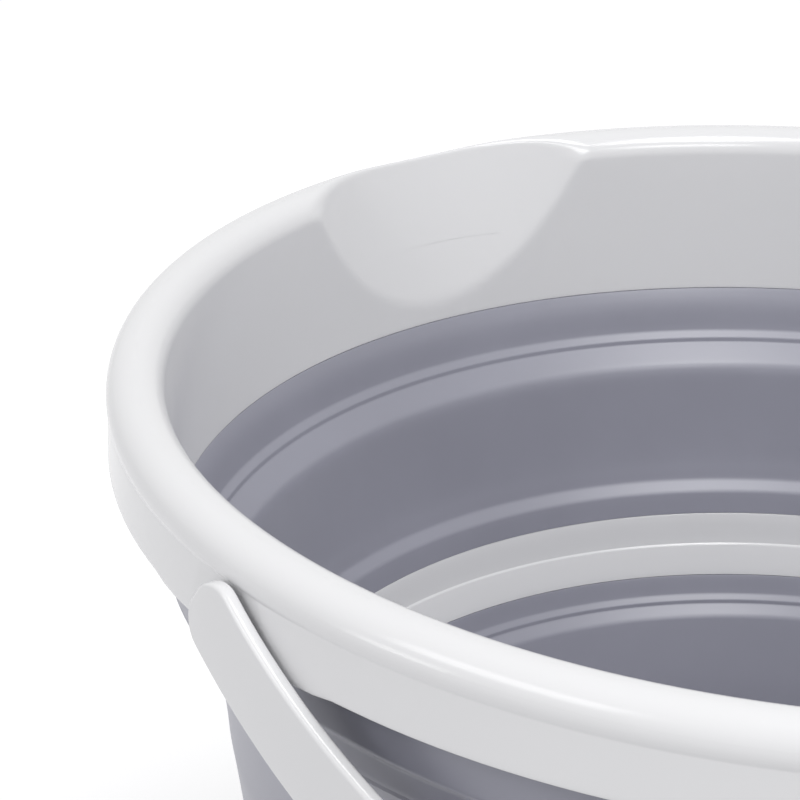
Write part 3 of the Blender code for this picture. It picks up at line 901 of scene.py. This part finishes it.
# The soft wall between the middle ring and the base.
LOWER_WALL = SoftWall(
    name="lower_soft_wall",
    node="lower_fold_wall",
    head=(120.7, 115.85),
    foot=(102.3, 58.9),
    inner_shares=(
        (1.0, 0.9986, 0.0), (0.975, 0.795, 0.5), (0.95, 0.775, 0.5), (0.83, 0.764, 1.0),
        (0.79, 0.73, 1.4), (0.75, 0.675, 2.0), (0.69, 0.58, 3.0), (0.62, 0.469, 3.0),
        (0.516, 0.363, 3.0), (0.418, 0.266, 3.0), (0.342, 0.189, 1.2), (0.315, 0.164, 0.7),
        (0.185, 0.129, 0.25), (0.163, 0.1226, 0.25), (0.158, 0.106, 0.3), (0.082, 0.085, 0.4),
        (0.0, 0.0005, 0.1),
    ),
    outer_shares=(
        (-0.07, 0.02, 1.0), (0.01, 0.085, 1.2), (0.08, 0.118, 1.0), (0.12, 0.15, 1.0),
        (0.24, 0.19, 1.2), (0.285, 0.24, 1.5), (0.36, 0.32, 2.0), (0.46, 0.42, 2.5),
        (0.52, 0.53, 2.5), (0.57, 0.61, 2.5), (0.62, 0.70, 2.0), (0.64, 0.80, 2.0),
    ),
    band=outline(
        (123.4, 115.82, 0.1), (125.85, 123.7, 0.1), (127.8, 123.7, 0.3), (125.0, 115.9, 1.2),
    ),
    collar=outline(
        (106.7, 58.9, 2.0), (105.5, 46.0, 0.3), (104.4, 46.0, 0.2), (104.4, 58.98, 0.1),
    ),
    upper_body=Body.MIDDLE_RING,
    lower_body=Body.BASE,
    fold_shares=(0.18, 0.764),
)


@dataclass(frozen=True)
class StiffShell:
    """A stiff white piece with the same section all the way round.

    Attributes:
        name: The piece's name.
        node: The node that it stands for.
        body: The body that it rides on.
        steps: The number of faces round it.
        corners: Its section in millimetres.
    """

    name: str
    node: str
    body: Body
    steps: int
    corners: Sequence[Corner]

    def build(self, plastic: Material) -> None:
        """Builds the piece of white plastic."""
        shell = LATHE.turned(self.name, self.corners, (Turn(360.0, self.steps),))
        smooth_faces(shell, 30.0)
        dress(shell, plastic, replaced=self.node, body=self.body)


# The ring between the soft walls, with a fine ledge where its two facets meet.
MIDDLE_RING = StiffShell(
    name="middle_ring_shell",
    node="middle_ring",
    body=Body.MIDDLE_RING,
    steps=288,
    corners=outline(
        (126.5, 132.7, 0.4), (125.6, 124.0, 0.6), (123.1, 115.9, 0.3), (120.7, 115.9, 0.35, 3.0),
        (122.95, 123.8, 0.25), (123.38, 124.2, 0.12, 3.0), (124.1, 132.7, 0.5),
    ),
)

# The tapered cup on its foot ring, from the middle of its floor out and round to its underside.
BASE_CUP = StiffShell(
    name="base_cup",
    node="base",
    body=Body.BASE,
    steps=256,
    corners=outline(
        (0.0, 5.4), (99.9, 5.4, 5.4), (102.3, 58.9, 0.4), (104.1, 58.9, 0.4), (104.1, 45.7, 0.2),
        (105.5, 45.4, 0.5), (101.85, 3.0, 7.5), (87.8, 3.0, 0.5), (87.8, 0.0, 0.6), (84.2, 0.0, 0.6),
        (84.2, 3.0, 0.5), (25.0, 3.0, 0.4), (25.0, 0.9, 0.4), (23.0, 0.9, 0.4), (23.0, 3.0, 0.4),
        (0.0, 3.0),
    ),
)

# The ribs under the floor, from the hub ring to the foot ring.
FLOOR_RIBS = Spokes("floor_ribs", count=12, start=24.0, end=86.0, low=1.2, high=4.2, width=1.8)


@dataclass
class BailHandle:
    """The bail: a flat strap that widens to a thicker grip, with a peg at each end.

    Lengths are in millimetres.

    Attributes:
        rest: How far the bail hangs below level, in degrees.
        inner_x: The distance of the strap's inner face from the middle at the pegs.
        reach: The distance from the pegs to the inner face at mid-grip.
        end_length: How far the strap's rounded ends reach past the pegs.
        end_width: The strap's width at the pegs.
        strap_thickness: The strap's thickness.
        strap_width: Its width at the side of the bucket.
        edge_round: The radius of its edges.
        edge_share: The most of its thickness that an edge takes up.
        grip_width: The grip's width.
        grip_thickness: The grip's thickness.
        grip_length: The grip's length.
        grip_round: What the radius of the edges gains on the grip.
        grip_blend: The length over which strap and grip merge.
        stations: The number of faces along the bail.
        edge_steps: The number of faces round each edge.
        end_shares: Places of the sections that round off an end, outermost first.
        peg: A peg's section, from its head outwards.
        peg_start: The distance of a peg's head from the middle.
    """

    rest: float = 35.5
    inner_x: float = 157.6
    reach: float = 162.3
    end_length: float = 6.5
    end_width: float = 18.2
    strap_thickness: float = 3.0
    strap_width: float = 21.2
    edge_round: float = 1.0
    edge_share: float = 0.45
    grip_width: float = 25.0
    grip_thickness: float = 8.5
    grip_length: float = 116.0
    grip_round: float = 1.8
    grip_blend: float = 26.0
    stations: int = 160
    edge_steps: int = 5
    end_shares: Sequence[float] = (0.9995, 0.995, 0.98, 0.955, 0.92, 0.86, 0.78, 0.67, 0.53, 0.37, 0.19, 0.0)
    peg: Sequence[Triple | Pair] = (
        (0.0, 0.0), (4.2, 0.0, 0.4), (4.2, 1.6, 0.4), (2.9, 1.6, 0.2), (2.9, 6.8), (0.0, 6.8),
    )
    peg_start: float = 152.2

    def section(self, half: float, inner: float, outer: float, edge: float) -> list[Pair]:
        """Gives the strap's section as distances outwards and across.

        Args:
            half: Half the width.
            inner: The inner face's distance.
            outer: The outer face's distance.
            edge: The radius of the edges.

        Returns:
            The section's points.
        """
        points: list[Pair] = []
        small = min(edge, half / 2, (outer - inner) * self.edge_share)
        corners = (
            (outer - small, half - small, 0.0),
            (inner + small, half - small, 90.0),
            (inner + small, -half + small, 180.0),
            (outer - small, -half + small, 270.0),
        )
        for away, across, start in corners:
            for step in range(self.edge_steps + 1):
                turn = math.radians(start + 90.0 * step / self.edge_steps)
                points.append((away + small * math.cos(turn), across + small * math.sin(turn)))
        return points

    def rings(self) -> list[list[Vector]]:
        """Gives the strap's sections from one end to the other, in the bail's own plane."""
        places: list[tuple[Vector, Vector, float, float, float]] = []
        for share in self.end_shares:
            along = self.end_length * share
            half = self.end_width / 2 * math.sqrt(1.0 - share * share)
            near = self.end_length - along
            lack = max(self.edge_round - near, 0.0)
            inset = self.edge_round - math.sqrt(self.edge_round**2 - lack**2)
            places.append((Vector((self.inner_x, -along)), Vector((1.0, 0.0)), half, 0.0, inset))
        for index in range(1, self.stations):
            angle = math.pi * index / self.stations
            place = Vector((self.inner_x * math.cos(angle), self.reach * math.sin(angle)))
            out = Vector((math.cos(angle) / self.inner_x, math.sin(angle) / self.reach)).normalized()
            widening = eased(place.y / (self.reach / 2))
            grip = eased((self.grip_length / 2 + self.grip_blend - abs(place.x)) / self.grip_blend)
            if place.y < self.reach / 2:
                grip = 0.0
            half = (self.end_width + (self.strap_width - self.end_width) * widening) / 2
            half += (self.grip_width - self.strap_width) / 2 * grip
            places.append((place, out, half, grip, 0.0))
        for place, out, half, grip, inset in reversed(places[: len(self.end_shares)]):
            places.append((Vector((-place.x, place.y)), Vector((-out.x, out.y)), half, grip, inset))
        rings: list[list[Vector]] = []
        for place, out, half, grip, inset in places:
            thickness = self.strap_thickness + (self.grip_thickness - self.strap_thickness) * grip
            edge = self.edge_round + self.grip_round * grip
            ring = []
            for away, across in self.section(half, inset, thickness - inset, edge):
                spot = place + out * away
                ring.append(Vector((spot.x, -spot.y, across)))
            rings.append(ring)
        return rings

    def build(self, plastic: Material) -> None:
        """Builds the bail and its pegs of white plastic."""
        rings = self.rings()
        count = len(rings[0])
        bpy.ops.mesh.primitive_circle_add(vertices=count, radius=self.end_width * MM, fill_type="NGON")
        bail = open_newest("bail_strap")
        hang = Matrix.Rotation(math.radians(self.rest), 4, "X")
        lift = Matrix.Translation((0.0, 0.0, PIVOT_Z))
        place = Matrix.Scale(MM, 4) @ lift @ hang
        bpy.ops.mesh.select_all(action="SELECT")
        for index, ring in enumerate(rings):
            if index:
                bpy.ops.mesh.extrude_region_move(TRANSFORM_OT_translate={"value": (0.0, 0.0, MM)})
            shape = bmesh.from_edit_mesh(bail.data)
            shape.verts.ensure_lookup_table()
            for vertex, spot in zip(shape.verts[-count:], ring):
                vertex.co = place @ spot
            bmesh.update_edit_mesh(bail.data)
        close_outwards()
        smooth_faces(bail, 40.0)
        dress(bail, plastic, replaced="handle", body=Body.HANDLE)
        peg = outline(*self.peg)
        build_pivot_pair("bail_peg", peg, self.peg_start, plastic, Body.HANDLE)


def aimed(turn: float, rise: float) -> Matrix:
    """Turns a camera or a lamp so that it looks back from a direction and an elevation in degrees."""
    around = Matrix.Rotation(math.radians(turn + 90.0), 4, "Z")
    return around @ Matrix.Rotation(math.radians(90.0 - rise), 4, "X")


@dataclass
class Studio:
    """The floor, the lights and the camera.

    Attributes:
        camera_place: The camera's place in metres.
        heading: The direction that it faces, in degrees from +X.
        pitch: How far it looks down, in degrees.
        roll: How far it is rolled, in degrees.
        focal_pixels: Its focal length in pixels of the picture.
        sky_light: The light that comes in from all round.
        floor_colour: The floor's colour.
        floor_glow: The light added to the floor where it is looked at.
        target: The place that the lamps face, in metres.
    """

    camera_place: Triple = (-0.4000, -0.3796, 0.4642)
    heading: float = 53.43
    pitch: float = 24.29
    roll: float = 1.56
    focal_pixels: float = 2787.7
    sky_light: float = 0.57
    floor_colour: tuple[float, float, float, float] = (0.62, 0.62, 0.63, 1.0)
    floor_glow: float = 0.55
    target: Triple = (0.0, 0.0, 0.20)

    def place_camera(self) -> None:
        """Places the camera as the photograph was taken."""
        data = bpy.data.cameras.new("studio_camera")
        data.sensor_width = 36.0
        data.lens = data.sensor_width * self.focal_pixels / PIXELS_ACROSS
        data.clip_start = 0.01
        data.clip_end = 20.0
        camera = bpy.data.objects.new("studio_camera", data)
        bpy.context.scene.collection.objects.link(camera)
        turn = aimed(self.heading + 180.0, self.pitch) @ Matrix.Rotation(math.radians(self.roll), 4, "Z")
        camera.matrix_world = Matrix.Translation(self.camera_place) @ turn
        bpy.context.scene.camera = camera

    def looked_at(self, tree: NodeTree) -> NodeSocket:
        """Gives 1 for rays of the camera and for those that show in gloss and glass.

        Args:
            tree: The nodes to add it to.

        Returns:
            The socket with the value.
        """
        rays = tree.nodes.new("ShaderNodeLightPath")
        seen = rays.outputs["Is Camera Ray"]
        for name in ("Is Glossy Ray", "Is Transmission Ray"):
            both = tree.nodes.new("ShaderNodeMath")
            both.operation = "MAXIMUM"
            tree.links.new(seen, both.inputs[0])
            tree.links.new(rays.outputs[name], both.inputs[1])
            seen = both.outputs[0]
        return seen

    def lay_floor(self) -> None:
        """Lays a pale floor that shows white apart from the bucket's shadow."""
        bpy.ops.mesh.primitive_plane_add(size=12.0)
        floor = bpy.context.object
        floor.name = "studio_floor"
        sheet = NodeSheet("floor_white")
        sheet.fill(sheet.shader, Base_Color=self.floor_colour, Roughness=0.9)
        sheet.fill(sheet.shader, Specular_IOR_Level=0.0, Emission_Color=WHITE)
        glow = sheet.add("ShaderNodeMath", operation="MULTIPLY")
        glow.inputs[1].default_value = self.floor_glow
        sheet.join(self.looked_at(sheet.tree), glow.inputs[0])
        sheet.join(glow.outputs[0], sheet.shader.inputs["Emission Strength"])
        floor.data.materials.append(sheet.material)

    def light_world(self) -> None:
        """Lights the scene evenly from all round and shows white behind it."""
        world = bpy.data.worlds.new("studio_world")
        bpy.context.scene.world = world
        world.use_nodes = True
        tree = world.node_tree
        backdrop = tree.nodes["Background"]
        backdrop.inputs["Color"].default_value = WHITE
        strength = tree.nodes.new("ShaderNodeMapRange")
        tree.links.new(self.looked_at(tree), strength.inputs["Value"])
        strength.inputs["To Min"].default_value = self.sky_light
        tree.links.new(strength.outputs["Result"], backdrop.inputs["Strength"])

    def add_lamp(self, name: str, place: Triple, size: Pair, power: float) -> None:
        """Adds a soft box that faces the bucket.

        Args:
            name: The lamp's name.
            place: Its direction in degrees from +X, its elevation in degrees and its distance in metres.
            size: Its width and height in metres.
            power: Its power in watts.
        """
        data = bpy.data.lights.new(name, "AREA")
        data.shape = "RECTANGLE"
        data.size, data.size_y = size
        data.energy = power
        lamp = bpy.data.objects.new(name, data)
        bpy.context.scene.collection.objects.link(lamp)
        turn, rise, distance = place
        away = aimed(turn, rise) @ Matrix.Translation((0.0, 0.0, distance))
        lamp.matrix_world = Matrix.Translation(self.target) @ away

    def build(self) -> None:
        """Sets up the studio."""
        bpy.context.scene.view_settings.view_transform = "Standard"
        self.place_camera()
        self.lay_floor()
        self.light_world()
        self.add_lamp("soft_box_side", (180.0, 31.0, 1.5), (0.8, 0.42), 3.7)
        self.add_lamp("soft_box_top", (276.0, 68.0, 1.5), (0.55, 0.55), 9.5)
        self.add_lamp("soft_box_front", (262.0, 38.0, 1.6), (0.6, 0.25), 4.0)
        self.add_lamp("soft_box_low", (168.0, 2.0, 1.6), (0.4, 0.3), 1.3)


def main() -> None:
    """Builds the bucket and its studio."""
    logging.basicConfig(level=logging.INFO, format="%(name)s: %(message)s")
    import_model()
    white = MOULDED_PLASTIC.make()
    grey = SOFT_RUBBER.make()
    rim = Rim()
    rim.build(white)
    UPPER_WALL.build(grey, rim)
    MIDDLE_RING.build(white)
    LOWER_WALL.build(grey)
    BASE_CUP.build(white)
    dress(FLOOR_RIBS.build(), white, body=Body.BASE)
    BailHandle().build(STRAP_PLASTIC.make())
    Studio().build()


if __name__ == "__main__":
    main()
